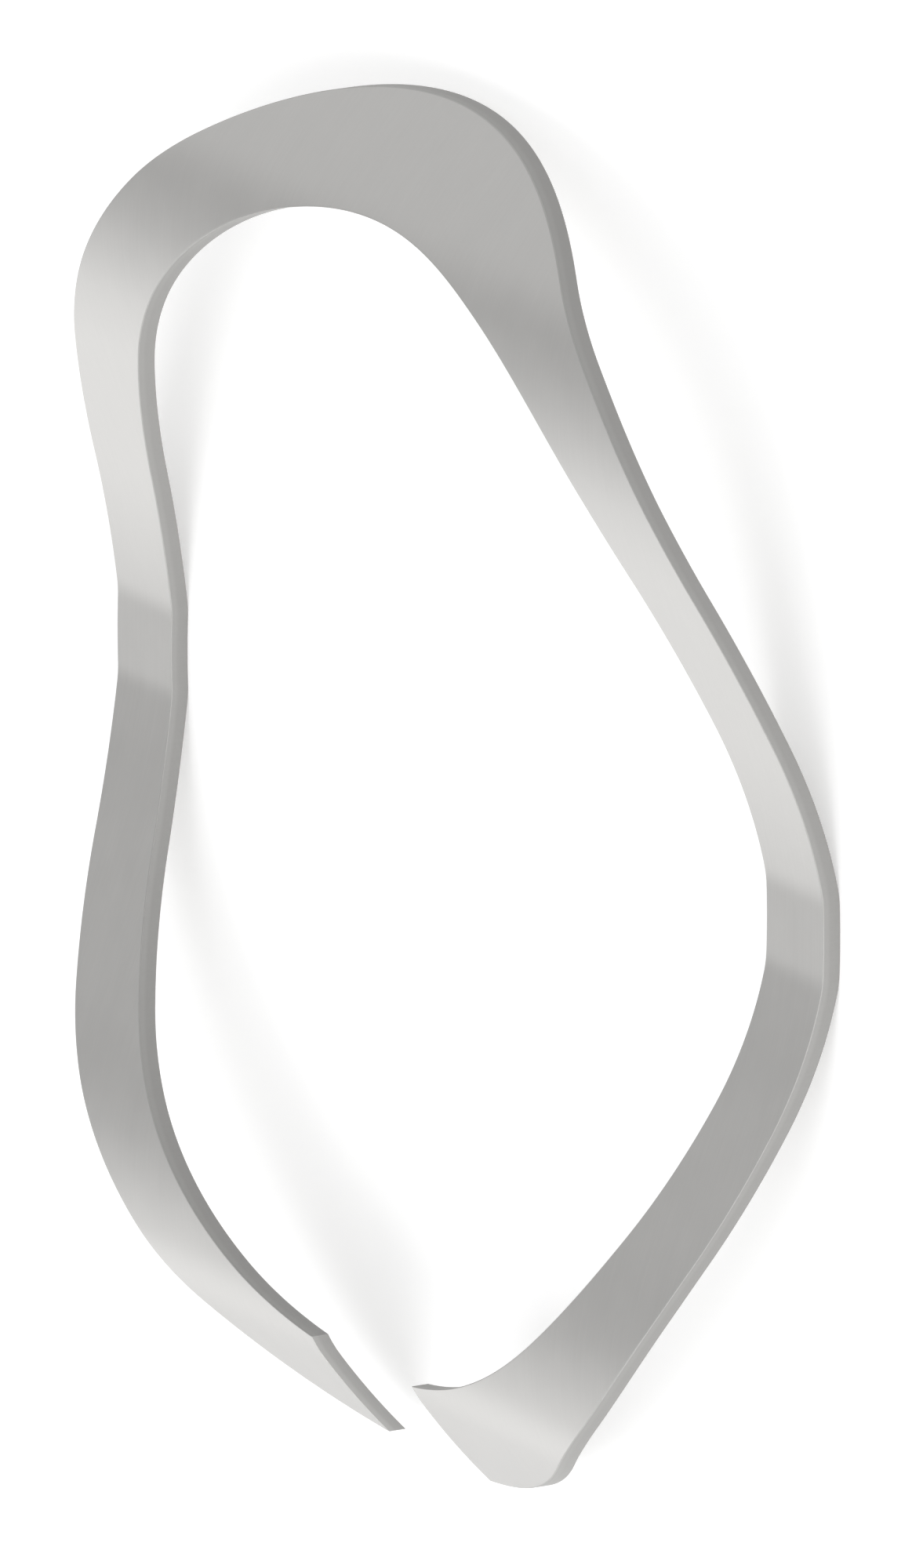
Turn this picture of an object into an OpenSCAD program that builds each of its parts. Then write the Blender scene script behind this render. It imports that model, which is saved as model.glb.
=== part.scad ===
// Waved snap ring: one open ring of flat spring-steel strip.
// It lies flat: +Z is the ring's axis, Z = 0 is the plane under the two lower crest lands, and the gap faces -X.
// The wave is pressed straight down across X only. So each line along Y runs level over the strip, the outline
// stays round, and the thickness along Z stays the same while the strip thins slightly where it is steep.
// Going round, the ring has four waves: low on the Y axis, low at the +X edge and at the ends, high in between.

/* [Ring] */
// Outer diameter of the ring, lying free
outer_d = 30; // [24:0.1:38]
// Width of the strip, measured along the radius
strip_w = 2.35; // [1.2:0.05:4]
// Thickness of the strip, measured along the ring's axis
gauge = 0.42; // [0.2:0.02:0.7]

/* [Gap] */
// Width of the straight gap between the two ends
gap_w = 4.2; // [0.5:0.1:8]
// How far the middle of the gap lies off the wave's centre line, towards +Y
gap_offset = 0.26; // [-1:0.02:1]

/* [Wave] */
// Height over all of the ring, lying free
free_h = 3.2; // [2.4:0.05:4.4]
// Height of the strip's middle line over the base plane at the ring's +X edge
tip_h = 0.52; // [0.3:0.02:1.2]
// Angle round the ring, from the gap's axis, at which the outer edge is highest
high_station = 45.9; // [43:0.1:48]
// Length of the flat land in the middle of each lower crest
land_len = 1.46; // [0.2:0.02:2.4]
// Middle-line radius of the bend at each end of that land
land_bend_r = 2.55; // [0.8:0.05:4]
// How far that bend turns
land_bend_deg = 9.9; // [2:0.1:14]
// Run along X of the long, slow bend between that bend and the straight flank
shoulder_run = 3; // [1:0.05:4]
// Run along X of the bend between the straight flank and the upper crest
approach_run = 1.5; // [0.8:0.05:2.5]
// Slope at which the upper crest's own bend begins
crest_deg = 13.9; // [5:0.1:15]
// Middle-line radius of the upper crest
crest_r = 7.1; // [3:0.1:8]
// Slope at which the upper crest ends, towards the ring's edge
heel_deg = 9; // [2:0.5:14]
// Middle-line radius of the tighter bend that leads down into the end leg
heel_r = 3.1; // [1:0.1:4.5]
// How much the end leg steepens on its way to the ring's edge
leg_turn_deg = 8.6; // [1:0.2:10]

/* [Hidden] */
$fn = 360;
outer_r = outer_d / 2;
inner_r = outer_r - strip_w;
// how far the waved sheet and the trimming cuts run past the ring
past = 1;
// most that a bend's surface turns from one flat to the next, in degrees
bend_step = 2;
// the strip's middle line, at the land and at the upper crest
low_z = gauge / 2;
high_z = free_h - gauge / 2;
high_x = outer_r * cos(high_station);

// The middle line is a row of bends and straights. Each is [run along X, slope at its start, slope at its end].
function rise(run, from, to) = run * tan((from + to) / 2);
// what is left of the run between land and crest for the straight flank
land_bend_run = land_bend_r * sin(land_bend_deg);
crest_run = crest_r * sin(crest_deg);
flank_run = high_x - land_len / 2 - land_bend_run - shoulder_run - approach_run - crest_run;
// the middle line from the end of the land up to the upper crest, for a flank of this slope
function climb(slope) = [
  [land_bend_run, 0, land_bend_deg],
  [shoulder_run, land_bend_deg, slope],
  [flank_run, slope, slope],
  [approach_run, slope, crest_deg],
  [crest_run, crest_deg, 0]
];
// and from the upper crest down to the ring's edge, for an end leg that starts at this slope
crest_out_run = crest_r * sin(heel_deg);
function heel_run(slope) = heel_r * (sin(slope) - sin(heel_deg));
function fall(slope) = [
  [crest_out_run, 0, -heel_deg],
  [heel_run(slope), -heel_deg, -slope],
  [outer_r - high_x - crest_out_run - heel_run(slope), -slope, -slope - leg_turn_deg]
];
// X and Z gained over the first n rows
function run_to(rows, n) = n == 0 ? 0 : run_to(rows, n - 1) + rows[n - 1][0];
function rise_to(rows, n) =
  n == 0 ? 0 : rise_to(rows, n - 1) + rise(rows[n - 1][0], rows[n - 1][1], rows[n - 1][2]);
// the slopes that bring the middle line to the upper crest's height and down to the edge's, by halving
function flank_slope(low, high, n) =
  let (mid = (low + high) / 2)
  n == 0 ? mid
  : rise_to(climb(mid), 5) < high_z - low_z ? flank_slope(mid, high, n - 1)
  : flank_slope(low, mid, n - 1);
function leg_slope(low, high, n) =
  let (mid = (low + high) / 2)
  n == 0 ? mid
  : -rise_to(fall(mid), 3) < high_z - tip_h ? leg_slope(mid, high, n - 1)
  : leg_slope(low, mid, n - 1);
climb_rows = climb(flank_slope(max(land_bend_deg, crest_deg), 60, 40));
fall_rows = fall(leg_slope(heel_deg, 65, 40));
edge_slope = fall_rows[2][2];

// Points [X, Z, slope] along one bend: its run is shared out by slope, so it follows a true arc.
function bend_points(x, z, row) =
  let (
    steps = max(1, ceil(abs(row[2] - row[1]) / bend_step)),
    r = row[0] / (sin(row[2]) - sin(row[1]))
  )
  [
    for (i = [1 : steps])
      let (slope = row[1] + (row[2] - row[1]) * i / steps)
      [x + r * (sin(slope) - sin(row[1])), z - r * (cos(slope) - cos(row[1])), slope]
  ];
function row_points(x, z, row) =
  row[1] == row[2] ? [[x + row[0], z + rise(row[0], row[1], row[2]), row[2]]]
  : bend_points(x, z, row);
function line_points(x, z, rows) =
  [
    for (i = [0 : len(rows) - 1])
      each row_points(x + run_to(rows, i), z + rise_to(rows, i), rows[i])
  ];
// The middle line from the end of the land out past the ring's +X edge, then the whole of it from -X to +X.
half_line = concat(
  [[land_len / 2, low_z, 0]],
  line_points(land_len / 2, low_z, climb_rows),
  line_points(high_x, high_z, fall_rows),
  [[outer_r + past, tip_h + past * tan(edge_slope), edge_slope]]
);
last = len(half_line) - 1;
middle_line = concat(
  [for (i = [last : -1 : 0]) [-half_line[i][0], half_line[i][1], -half_line[i][2]]],
  half_line
);
// One face of the strip, this far over the middle line.
function face_points(over) = [for (p = middle_line) [p[0], p[1] + over]];
function reversed(list) = [for (i = [len(list) - 1 : -1 : 0]) list[i]];

module waved_sheet() {
  rotate([90, 0, 0])
    linear_extrude(height = outer_d + 2 * past, center = true)
      polygon(concat(face_points(-gauge / 2), reversed(face_points(gauge / 2))));
}

// What the round die leaves of the waved sheet.
module trim() {
  difference() {
    translate([0, 0, -past])
      cylinder(h = free_h + 2 * past, r = outer_r);
    translate([0, 0, -2 * past])
      cylinder(h = free_h + 4 * past, r = inner_r);
    translate([-outer_r - past, gap_offset - gap_w / 2, -2 * past])
      cube([outer_r + past, gap_w, free_h + 4 * past]);
  }
}

module snap_ring() {
  color("silver")
    intersection() {
      waved_sheet();
      trim();
    }
}

snap_ring();
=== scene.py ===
"""Looks of a waved snap ring of spring-steel strip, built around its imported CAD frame.

The ring is one piece: a flat ring blanked from strip, cut across for its gap and pressed
in wave dies. Its middle line, worked out below, is the same row of bends and straights as
in the part's own source. All sizes in the classes are in millimetres, and meshes are in
metres in the row frame: +Z is the ring's axis, Z = 0 the plane it rests on, and the gap
faces -X.
"""

import logging
import math
from collections.abc import Callable
from dataclasses import dataclass, field
from enum import Enum

import bpy
import numpy as np
from mathutils import Matrix, Vector


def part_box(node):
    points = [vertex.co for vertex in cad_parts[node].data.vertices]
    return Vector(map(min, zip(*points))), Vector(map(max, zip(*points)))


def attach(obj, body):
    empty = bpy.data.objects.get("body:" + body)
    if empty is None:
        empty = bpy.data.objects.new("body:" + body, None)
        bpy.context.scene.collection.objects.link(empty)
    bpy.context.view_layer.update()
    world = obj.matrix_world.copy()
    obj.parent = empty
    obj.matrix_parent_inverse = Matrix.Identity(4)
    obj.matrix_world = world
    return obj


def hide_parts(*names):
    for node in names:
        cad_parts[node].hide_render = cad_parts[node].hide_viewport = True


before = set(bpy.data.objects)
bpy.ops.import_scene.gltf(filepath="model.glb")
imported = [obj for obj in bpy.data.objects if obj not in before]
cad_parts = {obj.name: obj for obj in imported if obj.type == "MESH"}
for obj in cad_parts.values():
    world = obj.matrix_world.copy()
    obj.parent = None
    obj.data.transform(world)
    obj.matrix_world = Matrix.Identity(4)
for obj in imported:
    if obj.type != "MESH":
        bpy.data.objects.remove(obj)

log = logging.getLogger("snap_ring")
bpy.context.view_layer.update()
MM = 0.001
QUARTER_TURN = math.pi / 2
WHITE = (1.0, 1.0, 1.0, 1.0)
NODE = "snap_ring"

Socket = bpy.types.NodeSocket
Feed = float | tuple[float, ...] | Socket


# --------------------------------------------------------------------------------------
# The strip's middle line
# --------------------------------------------------------------------------------------

# difference of two slopes' sines below which a bend counts as a straight
STRAIGHT = 1e-12
# halvings of a search, enough to use up a number's digits
HALVINGS = 50
# steepest slopes that a flank and an end leg could have, in radians
STEEPEST_FLANK = math.radians(60)
STEEPEST_LEG = math.radians(65)


@dataclass(frozen=True)
class Bend:
    """One stretch of the middle line: an arc, or a straight where both slopes are alike.

    Attributes:
        run: Length along X, in mm.
        start: Slope at its start, in radians.
        end: Slope at its end, in radians.
    """

    run: float
    start: float
    end: float

    @property
    def rise(self) -> float:
        """Height gained: the run times the tangent of the mean slope, true for any arc."""
        return self.run * math.tan((self.start + self.end) / 2)

    @property
    def radius(self) -> float:
        """Arc radius: the run over the difference of the slopes' sines, infinite if straight."""
        turn = math.sin(self.end) - math.sin(self.start)
        return self.run / turn if abs(turn) > STRAIGHT else math.inf


def halve(low: float, high: float, reached: Callable[[float], float], wanted: float) -> float:
    """Finds where a rising function reaches a wanted value.

    The span is halved again and again, and each time the half that holds the place stays.

    Args:
        low: Lower end of the search.
        high: Upper end of the search.
        reached: The rising function.
        wanted: The value it should reach.

    Returns:
        The place between low and high where reached equals wanted.
    """
    for _ in range(HALVINGS):
        middle = (low + high) / 2
        low, high = (middle, high) if reached(middle) < wanted else (low, middle)
    return (low + high) / 2


@dataclass
class WaveLine:
    """The waved strip's middle line, height over X, the same to both sides of X = 0.

    From the flat land under the lower crest it climbs through a bend, a slow shoulder, a
    straight flank and an approach to the upper crest, then falls through the crest's
    outer part, a tighter heel and an end leg that steepens to the ring's edge.

    Attributes:
        outer_r: Outer radius of the ring.
        free_h: Height over all of the ring, lying free.
        gauge: Thickness of the strip along the ring's axis.
        tip_h: Height of the middle line at the ring's +X edge.
        high_station: Angle round the ring, from the gap's axis, of the highest edge.
        land_len: Length of the flat land in the middle of the lower crest.
        land_bend_r: Radius of the bend at each end of that land.
        land_bend: How far that bend turns, in radians.
        shoulder_run: Run of the long, slow bend between that bend and the flank.
        approach_run: Run of the bend between the flank and the upper crest.
        crest: Slope at which the upper crest's own bend begins, in radians.
        crest_r: Radius of the upper crest.
        heel: Slope at which the upper crest ends, towards the edge, in radians.
        heel_r: Radius of the tighter bend that leads down into the end leg.
        leg_turn: How much the end leg steepens on its way to the edge, in radians.
    """

    outer_r: float
    free_h: float
    gauge: float
    tip_h: float = 0.52
    high_station: float = math.radians(45.9)
    land_len: float = 1.46
    land_bend_r: float = 2.55
    land_bend: float = math.radians(9.9)
    shoulder_run: float = 3.0
    approach_run: float = 1.5
    crest: float = math.radians(13.9)
    crest_r: float = 7.1
    heel: float = math.radians(9.0)
    heel_r: float = 3.1
    leg_turn: float = math.radians(8.6)
    _starts: np.ndarray = field(init=False, repr=False)
    _heights: np.ndarray = field(init=False, repr=False)
    _radii: np.ndarray = field(init=False, repr=False)
    _slopes: np.ndarray = field(init=False, repr=False)

    def __post_init__(self) -> None:
        """Solves the two free slopes and lays the bends end to end.

        The flank's slope makes the climb's rises add up to the height between the crests,
        and the leg's slope makes the fall's rises reach down to the edge's height.
        """
        low, high = self.gauge / 2, self.free_h - self.gauge / 2
        flank = halve(
            max(self.land_bend, self.crest),
            STEEPEST_FLANK,
            lambda slope: sum(b.rise for b in self._climb(slope)),
            high - low,
        )
        leg = halve(
            self.heel,
            STEEPEST_LEG,
            lambda slope: -sum(b.rise for b in self._fall(slope)),
            high - self.tip_h,
        )
        bends = [Bend(self.land_len / 2, 0.0, 0.0), *self._climb(flank), *self._fall(leg)]
        runs = np.array([b.run for b in bends])
        rises = np.array([b.rise for b in bends])
        self._starts = np.concatenate([[0.0], np.cumsum(runs)[:-1]])
        self._heights = low + np.concatenate([[0.0], np.cumsum(rises)[:-1]])
        self._radii = np.array([b.radius for b in bends])
        self._slopes = np.array([b.start for b in bends])

    @property
    def high_x(self) -> float:
        """X of the upper crest: the outer radius times the cosine of its station."""
        return self.outer_r * math.cos(self.high_station)

    def _climb(self, slope: float) -> list[Bend]:
        """Lays the bends from the land up to the upper crest.

        An arc that starts or ends level runs its radius times the sine of its other slope,
        and the flank takes what run the others leave.

        Args:
            slope: The flank's slope, in radians.

        Returns:
            The bends, in their order along X.
        """
        land_run = self.land_bend_r * math.sin(self.land_bend)
        crest_run = self.crest_r * math.sin(self.crest)
        flank_run = (
            self.high_x - self.land_len / 2 - land_run - self.shoulder_run
            - self.approach_run - crest_run
        )
        return [
            Bend(land_run, 0.0, self.land_bend),
            Bend(self.shoulder_run, self.land_bend, slope),
            Bend(flank_run, slope, slope),
            Bend(self.approach_run, slope, self.crest),
            Bend(crest_run, self.crest, 0.0),
        ]

    def _fall(self, slope: float) -> list[Bend]:
        """Lays the bends from the upper crest down to the ring's edge.

        The heel runs its radius times the difference of its slopes' sines, and the leg
        takes what run is left.

        Args:
            slope: The slope at which the leg begins, in radians.

        Returns:
            The bends, in their order along X.
        """
        out_run = self.crest_r * math.sin(self.heel)
        heel_run = self.heel_r * (math.sin(slope) - math.sin(self.heel))
        leg_run = self.outer_r - self.high_x - out_run - heel_run
        return [
            Bend(out_run, 0.0, -self.heel),
            Bend(heel_run, -self.heel, -slope),
            Bend(leg_run, -slope, -slope - self.leg_turn),
        ]

    def height(self, x: np.ndarray) -> np.ndarray:
        """Height of the middle line over the base plane.

        On an arc the slope's sine grows evenly with X, and the height is the arc's start
        height less its radius times the drop of the slope's cosine. On a straight it is
        the start height plus the run times the slope's tangent.

        Args:
            x: Places along X, in mm.

        Returns:
            Heights in mm, one for each place.
        """
        across = np.abs(x)
        row = np.clip(np.searchsorted(self._starts, across, side="right") - 1, 0, None)
        run, radius, slope = across - self._starts[row], self._radii[row], self._slopes[row]
        straight = np.isinf(radius)
        safe = np.where(straight, 1.0, radius)
        sine = np.clip(np.sin(slope) + run / safe, -1.0, 1.0)
        arc = -safe * (np.sqrt(1 - sine**2) - np.cos(slope))
        return self._heights[row] + np.where(straight, run * np.tan(slope), arc)


# --------------------------------------------------------------------------------------
# The ring's mesh
# --------------------------------------------------------------------------------------


class Flat(Enum):
    """The four flats of the strip's section in the order of its loop, by the way they face.

    The value is an angle, from outwards (0) to up (a quarter turn), in radians.
    """

    TOP = QUARTER_TURN
    OUTER_WALL = 0.0
    UNDERSIDE = -QUARTER_TURN
    INNER_WALL = -2 * QUARTER_TURN

    @property
    def rolled(self) -> bool:
        """Whether it is one of the strip's two rolled faces, and not a wall."""
        return self in (Flat.TOP, Flat.UNDERSIDE)


@dataclass(frozen=True)
class Section:
    """The strip's cross-section as a closed loop, each of its arrays one value a point.

    Attributes:
        out: Distance outwards from the middle of the strip's width, in mm.
        up: Height over the middle line, in mm.
        facing: Angle that the surface faces, from outwards (0) to up (a quarter turn).
    """

    out: np.ndarray
    up: np.ndarray
    facing: np.ndarray


@dataclass
class SnapRing:
    """The waved snap ring: strip section carried round the ring, cut straight at the gap.

    Attributes:
        outer_r: Outer radius of the ring.
        free_h: Height over all of the ring, lying free.
        strip_w: Width of the strip, measured along the radius.
        gauge: Thickness of the strip, measured along the ring's axis.
        gap_w: Width of the straight gap between the two ends.
        gap_offset: How far the middle of the gap lies off Y = 0, towards +Y.
        edge_r: Radius of the rounded edges along the strip.
        end_r: Radius of the rounded edges round each end face.
        stations: Loops between the two rounded ends.
        face_steps: Steps across each rolled face.
        wall_steps: Steps up each wall.
        corner_steps: Steps round each rounded edge of the section.
        end_steps: Steps round the rounded edges of an end face.
        line: The strip's middle line.
    """

    outer_r: float
    free_h: float
    strip_w: float = 2.35
    gauge: float = 0.42
    gap_w: float = 4.2
    gap_offset: float = 0.26
    edge_r: float = 0.022
    end_r: float = 0.016
    stations: int = 900
    face_steps: int = 16
    wall_steps: int = 5
    corner_steps: int = 4
    end_steps: int = 3
    line: WaveLine = field(init=False)

    def __post_init__(self) -> None:
        """Sets out the middle line for this ring's height and strip."""
        self.line = WaveLine(self.outer_r, self.free_h, self.gauge)

    @property
    def middle_r(self) -> float:
        """Radius of the middle of the strip's width."""
        return self.outer_r - self.strip_w / 2

    def section(self, inset: float) -> Section:
        """The rounded section, drawn in by an even margin all round.

        Each flat is shared out by half a cosine wave, so that points crowd towards its
        corners, and each corner is a quarter circle about its own centre. The loop runs
        outwards over the top, down the outer wall, back underneath and up the inner wall.

        Args:
            inset: Margin by which the loop is drawn in, less than the edge radius, in mm.

        Returns:
            The section's loop.
        """
        radius = self.edge_r - inset
        half_w = self.strip_w / 2 - self.edge_r
        half_h = self.gauge / 2 - self.edge_r
        corner = np.arange(self.corner_steps + 1) / self.corner_steps * QUARTER_TURN
        out, up, facing = [], [], []
        for side in Flat:
            turn = side.value
            count = self.face_steps if side.rolled else self.wall_steps
            length, depth = (half_w, half_h) if side.rolled else (half_h, half_w)
            normal = np.array([math.cos(turn), math.sin(turn)])
            travel = np.array([math.sin(turn), -math.cos(turn)])
            along = length * -np.cos(np.arange(1, count) / count * math.pi)
            flat = normal[:, None] * (depth + radius) + travel[:, None] * along
            bend_turn = turn - corner
            centre = normal * depth + travel * length
            bend = centre[:, None] + radius * np.stack([np.cos(bend_turn), np.sin(bend_turn)])
            out += [flat[0], bend[0]]
            up += [flat[1], bend[1]]
            facing += [np.full(count - 1, turn), bend_turn]
        return Section(np.concatenate(out), np.concatenate(up), np.concatenate(facing))

    def turns(self, radius: np.ndarray, gone: float) -> tuple[np.ndarray, np.ndarray]:
        """Angles round the ring at which it starts and ends, for a plane cut at the gap.

        The cut is straight and square to Y, so at each radius the angle is the arcsine of
        the cut's Y over that radius, short of half a turn.

        Args:
            radius: Radii, in mm.
            gone: How far behind the cut's plane, in mm.

        Returns:
            The start angles, on the -Y side, and the end angles, on the +Y side.
        """
        minus = self.gap_w / 2 - self.gap_offset + gone
        plus = self.gap_w / 2 + self.gap_offset + gone
        return -math.pi + np.arcsin(minus / radius), math.pi - np.arcsin(plus / radius)

    def ring_of(self, section: Section, turn: np.ndarray) -> np.ndarray:
        """Points of section loops at their angles round the ring.

        X and Y are the radius times the angle's cosine and sine, and Z is the middle line's
        height at that X plus the section's own height.

        Args:
            section: The section's loop.
            turn: Angles, one row a loop and one column a point of the section.

        Returns:
            Points in mm, in the shape of turn and three.
        """
        radius = self.middle_r + section.out
        x, y = radius * np.cos(turn), radius * np.sin(turn)
        return np.stack([x, y, self.line.height(x) + section.up], -1)

    def loops(self) -> tuple[np.ndarray, np.ndarray, np.ndarray]:
        """All loops from one end face to the other.

        Between the ends the loops are shared out evenly. At each end a few more follow a
        quarter circle: as a loop nears the end face by the sine, it is drawn in by the
        cosine, so the end's own edges are rounded too.

        Returns:
            Points, the angle round the ring, and the way that each point faces.
        """
        whole = self.section(0.0)
        start, end = self.turns(self.middle_r + whole.out, 2 * self.end_r)
        share = np.linspace(0, 1, self.stations)[:, None]
        rows = [(whole, start + share * (end - start))]
        for step in np.arange(self.end_steps + 1) / self.end_steps * QUARTER_TURN:
            small = self.section(self.end_r * (1 - math.cos(step)))
            gone = self.end_r * (1 - math.sin(step))
            start, end = self.turns(self.middle_r + small.out, gone)
            rows = [(small, start[None, :]), *rows, (small, end[None, :])]
        points = [self.ring_of(section, turn) for section, turn in rows]
        turns = [turn for _, turn in rows]
        facing = [np.broadcast_to(section.facing, turn.shape) for section, turn in rows]
        return np.concatenate(points), np.concatenate(turns), np.concatenate(facing)

    def faces(self, loops: int, round_: int) -> tuple[list[list[int]], np.ndarray]:
        """Quads between neighbouring loops, and the two end faces.

        Point p of loop n is joined to its neighbours in a grid that closes round the
        section. An end face is bridged by quads between the points of its upper half and
        their mirror points below. The first and the last of them take in the wall's points.

        Args:
            loops: How many loops there are.
            round_: How many points each has.

        Returns:
            The end faces as lists of vertices, and the grid's quads.
        """
        n, p = np.meshgrid(np.arange(loops - 1), np.arange(round_), indexing="ij")
        q = (p + 1) % round_
        this, following = n * round_, (n + 1) * round_
        quads = np.stack([this + p, this + q, following + q, following + p], -1)
        flat, wall, corner = self.face_steps - 1, self.wall_steps - 1, self.corner_steps + 1
        # loop order: top, corner, outer wall, corner, underside, corner, inner wall, corner
        upper = np.concatenate([np.arange(round_ - corner, round_), np.arange(flat + corner)])
        lower_start = flat + corner + wall
        lower = np.arange(lower_start, lower_start + 2 * corner + flat)[::-1]
        outer = np.arange(flat + corner, lower_start)
        inner = np.arange(round_ - corner - wall, round_ - corner)
        cells = np.stack([upper[1:-2], lower[1:-2], lower[2:-1], upper[2:-1]], -1).tolist()
        cells.append([upper[0], *inner[::-1], lower[0], lower[1], upper[1]])
        cells.append([upper[-2], lower[-2], lower[-1], *outer[::-1], upper[-1]])
        last = (loops - 1) * round_
        caps = [[int(v) for v in cell] for cell in cells]
        caps += [[last + int(v) for v in cell[::-1]] for cell in cells]
        return caps, quads.reshape(-1, 4)

    def mesh(self) -> bpy.types.Mesh:
        """The ring's mesh in metres, with the attributes that its finish reads.

        Strip_place holds how far round the ring a point is, how far round the section and
        how high in the strip, in mm. Sheared_shaded is 0 on the rolled faces and 1 on the
        walls, as the square of the cosine of the way the point faces, and 1 all over the end
        faces; it places the walls' cut finish and their painted shade. Edge is 1 in the
        middle of a rounded edge: the sine of twice that angle, squared.

        Returns:
            The mesh.
        """
        points, turn, facing = self.loops()
        caps, quads = self.faces(*turn.shape)
        mesh = bpy.data.meshes.new(NODE)
        mesh.from_pydata((points.reshape(-1, 3) * MM).tolist(), [], quads.tolist() + caps)
        mesh.polygons.foreach_set("use_smooth", np.ones(len(mesh.polygons), bool))
        steps = np.linalg.norm(np.diff(points, axis=1, append=points[:, :1]), axis=-1)
        girth = np.cumsum(steps, axis=1) - steps
        up = points[..., 2] - self.line.height(points[..., 0])
        sheared = np.cos(facing) ** 2
        sheared[[0, -1]] = 1.0
        place = np.stack([turn * self.middle_r, girth, up], -1)
        self._attribute(mesh, "strip_place", "FLOAT_VECTOR", "vector", place)
        self._attribute(mesh, "sheared", "FLOAT", "value", sheared)
        self._attribute(mesh, "edge", "FLOAT", "value", np.sin(2 * facing) ** 2)
        mesh.validate()
        return mesh

    @staticmethod
    def _attribute(mesh: bpy.types.Mesh, name: str, kind: str, key: str, values: np.ndarray) -> None:
        """Adds one attribute of this kind, a value a vertex, filled through its key."""
        layer = mesh.attributes.new(name, kind, "POINT")
        layer.data.foreach_set(key, values.astype(np.float32).ravel())

    def build(self, finish: "SpringSteel") -> bpy.types.Object:
        """Makes the piece, dresses it and lets it stand for the CAD node.

        Args:
            finish: What the ring is finished in.

        Returns:
            The piece.
        """
        ring = bpy.data.objects.new("waved_snap_ring", self.mesh())
        bpy.context.scene.collection.objects.link(ring)
        ring.data.materials.append(finish.material())
        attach(ring, "root")
        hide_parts(NODE)
        return ring


# --------------------------------------------------------------------------------------
# Finishes
# --------------------------------------------------------------------------------------

# share that each finer layer of a noise keeps of the one before
NOISE_ROUGHNESS = 0.55
# noise strays from a half by up to a half, and this makes that one
STRAY_GAIN = 2.0


class Mixed(Enum):
    """What a Mix node mixes: its data type, the names of its two inputs and its output."""

    NUMBER = ("FLOAT", "2", "3", 0)
    COLOUR = ("RGBA", "6", "7", 2)


class Nodes:
    """A short way to lay shader nodes and link them."""

    def __init__(self, tree: bpy.types.NodeTree) -> None:
        """Starts with an empty tree."""
        self.tree = tree
        tree.nodes.clear()

    def add(self, kind: str, **settings: object) -> bpy.types.Node:
        """Adds one node.

        Args:
            kind: The node's type, without its ShaderNode prefix.
            settings: Node properties by name, and what its inputs take, by their names or
                numbers after "in_", with "_" for a space.

        Returns:
            The node.
        """
        node = self.tree.nodes.new("ShaderNode" + kind)
        for key, value in settings.items():
            if key.startswith("in_"):
                self.feed(node, key.removeprefix("in_"), value)
            else:
                setattr(node, key, value)
        return node

    def feed(self, node: bpy.types.Node, name: str, value: Feed) -> None:
        """Links a socket to an input, or sets the input's own value.

        Args:
            node: The node that is fed.
            name: The input's name, with "_" for a space, or its number.
            value: The socket or the value.
        """
        socket = node.inputs[int(name) if name.isdigit() else name.replace("_", " ")]
        if isinstance(value, Socket):
            self.tree.links.new(value, socket)
        else:
            socket.default_value = value

    def maths(self, operation: str, *values: Feed) -> Socket:
        """Works out one step of arithmetic, on one to three numbers.

        Args:
            operation: The Math node's operation.
            values: Its inputs, in order.

        Returns:
            The result.
        """
        node = self.add("Math", operation=operation)
        for n, value in enumerate(values):
            self.feed(node, str(n), value)
        return node.outputs[0]

    def span(self, value: Feed, low: float, high: float, to_low: float, to_high: float) -> Socket:
        """Carries a value's range over onto another evenly, held at its ends.

        Args:
            value: The value.
            low: Lower end of its range.
            high: Upper end of its range.
            to_low: What the lower end becomes.
            to_high: What the upper end becomes.

        Returns:
            The new value.
        """
        node = self.add("MapRange", clamp=True)
        for n, item in enumerate((value, low, high, to_low, to_high)):
            self.feed(node, str(n), item)
        return node.outputs[0]

    def mix(self, mixed: Mixed, share: Feed, first: Feed, second: Feed) -> Socket:
        """Goes from the first to the second, by the share: each times its part, added up.

        Args:
            mixed: Whether numbers or colours are mixed.
            share: The second's part, from 0 to 1.
            first: What a share of 0 gives.
            second: What a share of 1 gives.

        Returns:
            The mixed number or colour.
        """
        data_type, first_name, second_name, result = mixed.value
        node = self.add("Mix", data_type=data_type, clamp_factor=True)
        for name, item in (("0", share), (first_name, first), (second_name, second)):
            self.feed(node, name, item)
        return node.outputs[result]

    def grain(self, place: Socket, cells: tuple[float, float, float], detail: float) -> Socket:
        """Noise from 0 to 1, stretched by scaling its place along each axis.

        Args:
            place: Where the noise is read.
            cells: Its cells along each axis, in each unit of the place.
            detail: How many finer layers it has.

        Returns:
            The noise.
        """
        at = self.add("Mapping", in_Vector=place, in_Scale=cells).outputs[0]
        settings = {"in_Scale": 1.0, "in_Detail": detail, "in_Roughness": NOISE_ROUGHNESS}
        return self.add("TexNoise", in_Vector=at, **settings).outputs["Fac"]


@dataclass(frozen=True)
class Zone:
    """How one kind of surface of the steel looks.

    Attributes:
        colour: Its reflectance.
        roughness: Its mean roughness.
        spread: How far its roughness strays over its grain.
        grain_height: Height of its grain, in mm.
    """

    colour: tuple[float, float, float]
    roughness: float
    spread: float = 0.0
    grain_height: float = 0.0

    @property
    def rgba(self) -> tuple[float, ...]:
        """Its reflectance as a colour socket takes it."""
        return (*self.colour, 1.0)


@dataclass(frozen=True)
class Masks:
    """Where the steel's zones lie, and its grain, as sockets that run from 0 to 1.

    Attributes:
        sheared: 1 on the walls and end faces, and 0 on the rolled faces: where the cut finish and
            the painted shade go.
        edge: 1 in the middle of a rounded edge.
        burnish: 1 over the burnished band, along the top of the walls.
        grain: Rolling lines on the rolled faces, and shear marks and pits on the walls.
        clouds: Faint clouds all over.
    """

    sheared: Socket
    edge: Socket
    burnish: Socket
    grain: Socket
    clouds: Socket


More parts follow.
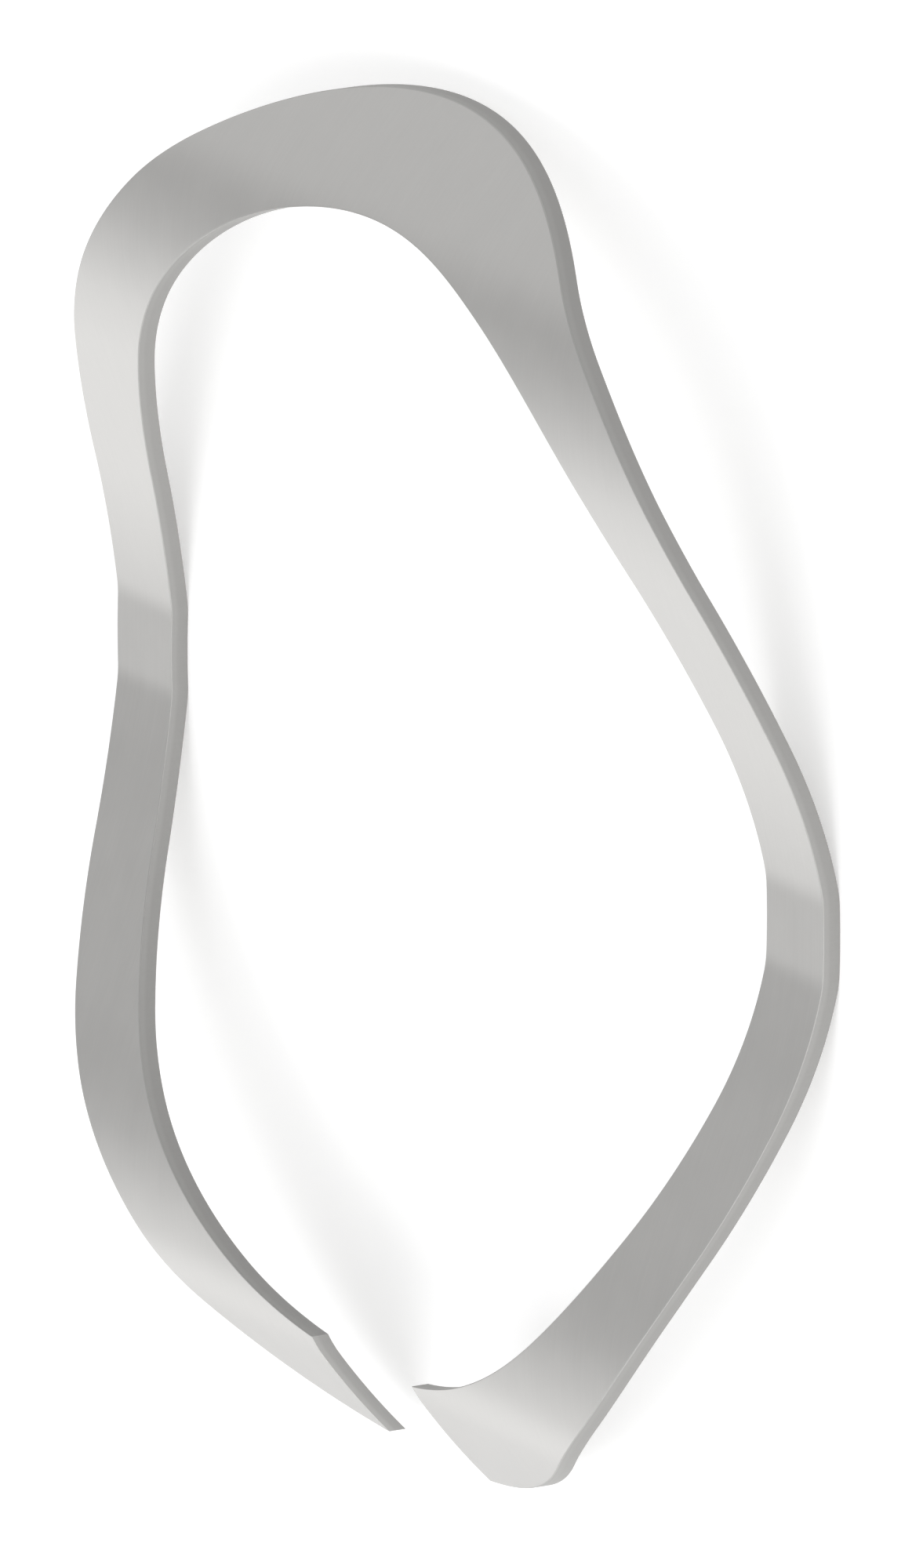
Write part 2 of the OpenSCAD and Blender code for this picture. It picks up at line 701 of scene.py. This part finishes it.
ROLLED = Zone(colour=(0.558, 0.552, 0.54), roughness=0.44, spread=0.07, grain_height=0.0004)
# walls and end faces: darker than the rolled faces, partly for the matte sheared cut and partly as
# painted shade on the ring's sides
SHEARED_SHADED = Zone(colour=(0.41, 0.406, 0.397), roughness=0.8, spread=0.1, grain_height=0.0016)
TUMBLED = Zone(colour=(0.48, 0.475, 0.465), roughness=0.65)


@dataclass(frozen=True)
class SpringSteel:
    """Satin spring steel: rolled faces, sheared walls and lightly tumbled edges.

    Attributes:
        rolled: The two broad faces, with fine lines along the strip's rolling, X.
        sheared: The walls and end faces, with marks down the cut and a burnished
        band where the punch went in, and a darker colour that is partly the matte cut
        and partly painted shade.
        tumbled: The rounded edges, which carry on the grain of the surfaces beside them.
        line_pitch: Spacing of the rolling lines, in mm.
        line_ends: How many times a rolling line fades in each mm of its length.
        line_steps: How many times the lines change in each mm of height.
        mark_pitch: Spacing of the shear marks round the ring, in mm.
        mark_ends: How many times a shear mark fades in each mm of height.
        pits: Pits in each mm of the walls.
        cloud_size: Size of the faint clouds, in mm.
        fine_detail: Finer layers in the lines, marks and pits.
        cloud_detail: Finer layers in the clouds.
        burnish_low: Height in the strip at which the burnished band begins, in mm.
        burnish_high: Height from which it is full, in mm.
        burnish_gain: How much smoother than the rest of the wall it is.
        mark_part: The marks' part in the walls' grain, the pits having the rest.
        rough_part: The grain's part in how the roughness strays, clouds having the rest.
        tone_part: The grain's part in how the reflectance strays, clouds having the rest.
        tone_low: Value of that mixed noise at which the reflectance is lowest.
        tone_high: Value at which it is highest.
        tone: How far the reflectance strays from its mean, as a part of it.
    """

    rolled: Zone = ROLLED
    sheared: Zone = SHEARED_SHADED
    tumbled: Zone = TUMBLED
    line_pitch: float = 0.05
    line_ends: float = 0.35
    line_steps: float = 1.0
    mark_pitch: float = 0.07
    mark_ends: float = 1.6
    pits: float = 14.0
    cloud_size: float = 1.1
    fine_detail: float = 2.0
    cloud_detail: float = 3.0
    burnish_low: float = 0.02
    burnish_high: float = 0.1
    burnish_gain: float = 0.06
    mark_part: float = 0.6
    rough_part: float = 0.6
    tone_part: float = 0.5
    tone_low: float = 0.3
    tone_high: float = 0.7
    tone: float = 0.035

    def material(self) -> bpy.types.Material:
        """The finish as a node material.

        Returns:
            The material.
        """
        material = bpy.data.materials.new("satin_spring_steel")
        material.use_nodes = True
        n = Nodes(material.node_tree)
        shader = n.add("BsdfPrincipled", in_Metallic=1.0)
        n.add("OutputMaterial", in_Surface=shader.outputs[0])
        masks = self._masks(n)
        n.feed(shader, "Roughness", self._roughness(n, masks))
        n.feed(shader, "Base Color", self._colour(n, masks))
        n.feed(shader, "Normal", self._relief(n, masks))
        return material

    def _masks(self, n: Nodes) -> Masks:
        """Reads the ring's attributes, and lays its noises on them and on its own place.

        The walls' grain is the marks times their part plus the pits times the rest, and
        the sheared attribute goes from the lines to that.

        Args:
            n: The material's nodes.

        Returns:
            The masks.
        """
        place = n.add("TexCoord").outputs["Object"]
        strip = n.add("Attribute", attribute_name="strip_place").outputs["Vector"]
        sheared = n.add("Attribute", attribute_name="sheared").outputs["Fac"]
        edge = n.add("Attribute", attribute_name="edge").outputs["Fac"]
        line_cells = (self.line_ends / MM, 1 / (self.line_pitch * MM), self.line_steps / MM)
        lines = n.grain(place, line_cells, self.fine_detail)
        clouds = n.grain(place, (1 / (self.cloud_size * MM),) * 3, self.cloud_detail)
        marks = n.grain(strip, (1 / self.mark_pitch, 0.0, self.mark_ends), self.fine_detail)
        pits = n.grain(strip, (self.pits,) * 3, self.fine_detail)
        height = n.add("SeparateXYZ", in_Vector=strip).outputs["Z"]
        burnish = n.span(height, self.burnish_low, self.burnish_high, 0.0, 1.0)
        walls = self._parts(n, marks, pits, self.mark_part)
        grain = n.mix(Mixed.NUMBER, sheared, lines, walls)
        return Masks(sheared, edge, burnish, grain, clouds)

    @staticmethod
    def _parts(n: Nodes, first: Socket, second: Socket, part: float) -> Socket:
        """The first number times its part, plus the second times the rest."""
        return n.maths("MULTIPLY_ADD", first, part, n.maths("MULTIPLY", second, 1 - part))

    def _roughness(self, n: Nodes, masks: Masks) -> Socket:
        """Each zone's mean, plus its spread times how far the noises stray from a half.

        Args:
            n: The material's nodes.
            masks: Where the zones lie, and the grain.

        Returns:
            The roughness.
        """
        burnished = self.sheared.roughness - self.burnish_gain
        band = n.mix(Mixed.NUMBER, masks.burnish, self.sheared.roughness, burnished)
        mean = n.mix(Mixed.NUMBER, masks.sheared, self.rolled.roughness, band)
        mean = n.mix(Mixed.NUMBER, masks.edge, mean, self.tumbled.roughness)
        spread = n.mix(Mixed.NUMBER, masks.sheared, self.rolled.spread, self.sheared.spread)
        noise = self._parts(n, masks.grain, masks.clouds, self.rough_part)
        stray = n.maths("SUBTRACT", noise, 0.5)
        return n.maths("MULTIPLY_ADD", stray, n.maths("MULTIPLY", spread, STRAY_GAIN), mean)

    def _colour(self, n: Nodes, masks: Masks) -> Socket:
        """Each zone's reflectance, times a level that goes up and down with the noises. The walls'
        and end faces' darker reflectance is partly painted shade.

        Args:
            n: The material's nodes.
            masks: Where the zones lie, and the grain.

        Returns:
            The base colour.
        """
        # the walls and end faces take a darker colour, partly their cut finish and partly painted
        # shade
        colour = n.mix(Mixed.COLOUR, masks.sheared, self.rolled.rgba, self.sheared.rgba)
        colour = n.mix(Mixed.COLOUR, masks.edge, colour, self.tumbled.rgba)
        noise = self._parts(n, masks.grain, masks.clouds, self.tone_part)
        level = n.span(noise, self.tone_low, self.tone_high, 1 - self.tone, 1 + self.tone)
        return n.add("VectorMath", operation="SCALE", in_0=colour, in_Scale=level).outputs[0]

    def _relief(self, n: Nodes, masks: Masks) -> Socket:
        """Relief as high as the grain times its zone's height, in metres.

        Args:
            n: The material's nodes.
            masks: Where the zones lie, and the grain.

        Returns:
            The normal.
        """
        heights = (self.rolled.grain_height * MM, self.sheared.grain_height * MM)
        depth = n.mix(Mixed.NUMBER, masks.sheared, *heights)
        height = n.maths("MULTIPLY", masks.grain, depth)
        return n.add("Bump", in_Height=height, in_Strength=1.0, in_Distance=1.0).outputs[0]


@dataclass(frozen=True)
class PaleFloor:
    """The plain floor: pale, shown white, with the ring's soft shadow left on it.

    Attributes:
        colour: Its reflectance, the same in all three colours.
        lift: Strength of the glow that brings it up to white in the picture.
    """

    colour: float = 0.88
    lift: float = 0.3

    def material(self) -> bpy.types.Material:
        """Diffuse floor, and a glow that only the eye, gloss and glass see.

        Returns:
            The material.
        """
        material = bpy.data.materials.new("pale_floor")
        material.use_nodes = True
        n = Nodes(material.node_tree)
        path = n.add("LightPath").outputs
        mirrored = n.maths("MAXIMUM", path["Is Glossy Ray"], path["Is Transmission Ray"])
        seen = n.maths("MAXIMUM", path["Is Camera Ray"], mirrored)
        strength = n.maths("MULTIPLY", seen, self.lift)
        diffuse = n.add("BsdfDiffuse", in_Color=(self.colour,) * 3 + (1.0,))
        glow = n.add("Emission", in_Color=WHITE, in_Strength=strength)
        both = n.add("AddShader", in_0=diffuse.outputs[0], in_1=glow.outputs[0])
        n.add("OutputMaterial", in_Surface=both.outputs[0])
        return material


# --------------------------------------------------------------------------------------
# Floor, light and camera
# --------------------------------------------------------------------------------------


@dataclass(frozen=True)
class Lamp:
    """One soft square lamp, aimed at the ring.

    Attributes:
        name: The lamp's name.
        azimuth: Where it stands round the ring, from +X towards +Y, in degrees.
        elevation: How high it stands over the floor, in degrees.
        power: Its power, in watts.
        size: Its width, in mm.
        distance: How far it stands from the ring's middle, in mm.
    """

    name: str
    azimuth: float
    elevation: float
    power: float
    size: float = 540.0
    distance: float = 960.0

    def build(self, middle: Vector) -> bpy.types.Object:
        """Hangs the lamp on its sphere round the ring's middle, facing it.

        It stands off by the distance, times the cosine and sine of the azimuth and the
        cosine of the elevation along X and Y, and times the elevation's sine along Z.

        Args:
            middle: The middle of the ring's box, in metres.

        Returns:
            The lamp.
        """
        data = bpy.data.lights.new(self.name, "AREA")
        data.shape, data.size, data.energy = "SQUARE", self.size * MM, self.power
        azimuth, elevation = math.radians(self.azimuth), math.radians(self.elevation)
        level = math.cos(elevation)
        away = Vector((math.cos(azimuth) * level, math.sin(azimuth) * level, math.sin(elevation)))
        lamp = bpy.data.objects.new(self.name, data)
        lamp.location = middle + away * self.distance * MM
        lamp.rotation_euler = away.to_track_quat("Z", "Y").to_euler()
        bpy.context.scene.collection.objects.link(lamp)
        return lamp


@dataclass
class Studio:
    """Pale floor, soft lamps, plain pale surroundings and a long-lens camera.

    Attributes:
        floor_size: Width of the square floor.
        world: Strength of the white that surrounds it all.
        lamps: The lamps.
        lens: Focal length of the camera.
        sensor: Width of its sensor.
        near: Nearest distance that it shows.
        far: Furthest distance that it shows.
        place: Where it stands, in the row frame.
        right: The direction to its right.
        up: The direction over it, about square to right.
    """

    floor_size: float = 4000.0
    world: float = 0.6
    lamps: tuple[Lamp, ...] = ()
    lens: float = 950.0
    sensor: float = 36.0
    near: float = 10.0
    far: float = 10000.0
    place: tuple[float, float, float] = (225.859, -735.787, 425.447)
    right: tuple[float, float, float] = (0.00096, -0.499894, -0.866086)
    up: tuple[float, float, float] = (0.966441, 0.22295, -0.127613)

    def build(self, low: Vector, high: Vector) -> None:
        """Builds the whole studio round the ring's box.

        Args:
            low: The box's lowest corner, in metres.
            high: Its highest corner, in metres.
        """
        self._floor(low.z)
        self._surroundings()
        for lamp in self.lamps:
            lamp.build((low + high) / 2)
        self._camera()
        bpy.context.scene.view_settings.view_transform = "Standard"

    def _floor(self, level: float) -> None:
        """Lays a square floor, half its size to each side of the ring's axis.

        Args:
            level: Its height, in metres.
        """
        half = self.floor_size / 2 * MM
        corners = np.array([[-1, -1], [1, -1], [1, 1], [-1, 1]]) * half
        mesh = bpy.data.meshes.new("floor")
        mesh.from_pydata([(x, y, level) for x, y in corners], [], [(0, 1, 2, 3)])
        mesh.materials.append(PaleFloor().material())
        floor = bpy.data.objects.new("floor", mesh)
        bpy.context.scene.collection.objects.link(floor)

    def _surroundings(self) -> None:
        """Gives plain even light from all round, the same for every ray."""
        world = bpy.data.worlds.new("studio")
        bpy.context.scene.world = world
        world.use_nodes = True
        n = Nodes(world.node_tree)
        back = n.add("Background", in_Color=WHITE, in_Strength=self.world)
        n.add("OutputWorld", in_Surface=back.outputs[0])

    def _camera(self) -> None:
        """Sets up a camera with a long lens, so that it sees almost in parallel.

        Its back is the cross product of its right and up, and its up is then made square
        to both, as the cross product of its back and right.
        """
        data = bpy.data.cameras.new("camera")
        data.lens, data.sensor_width = self.lens, self.sensor
        data.clip_start, data.clip_end = self.near * MM, self.far * MM
        camera = bpy.data.objects.new("camera", data)
        right, up = Vector(self.right).normalized(), Vector(self.up)
        back = right.cross(up).normalized()
        up = back.cross(right)
        turn = Matrix((right, up, back)).transposed().to_4x4()
        camera.matrix_world = Matrix.Translation(Vector(self.place) * MM) @ turn
        bpy.context.scene.collection.objects.link(camera)
        bpy.context.scene.camera = camera


def bank(name: str, azimuths: tuple[float, ...], elevation: float, power: float) -> list[Lamp]:
    """A row of like lamps at one height.

    Args:
        name: The row's name, which each lamp's name starts with.
        azimuths: Where the lamps stand round the ring, in degrees.
        elevation: How high they stand, in degrees.
        power: Each lamp's power, in watts.

    Returns:
        The lamps, in the order of their azimuths.
    """
    return [Lamp(f"{name}_{n}", azimuth, elevation, power) for n, azimuth in enumerate(azimuths)]


LAMPS = (
    *bank("key", (240.0, 270.0), 8.0, 3.15),
    Lamp("key_side", 210.0, 8.0, 0.72),
    Lamp("key_gap", 180.0, 8.0, 1.62),
    *bank("key_high", (180.0, 210.0, 240.0), 55.0, 0.57),
    Lamp("back_left", 120.0, 8.0, 1.0),
    Lamp("back_left_middle", 120.0, 30.0, 0.09),
    Lamp("back_left_high", 150.0, 55.0, 0.96),
    Lamp("back_right", 60.0, 8.0, 0.19),
    Lamp("back_right_middle", 60.0, 30.0, 0.23),
)


def main() -> None:
    """Builds the ring and its studio, and reports each piece."""
    logging.basicConfig(level=logging.INFO, format="%(name)s: %(message)s")
    low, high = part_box(NODE)
    ring = SnapRing(outer_r=high.x / MM, free_h=(high.z - low.z) / MM)
    piece = ring.build(SpringSteel())
    mesh = piece.data
    log.info("%s: %d vertices, %d faces", piece.name, len(mesh.vertices), len(mesh.polygons))
    Studio(lamps=LAMPS).build(low, high)


if __name__ == "__main__":
    main()
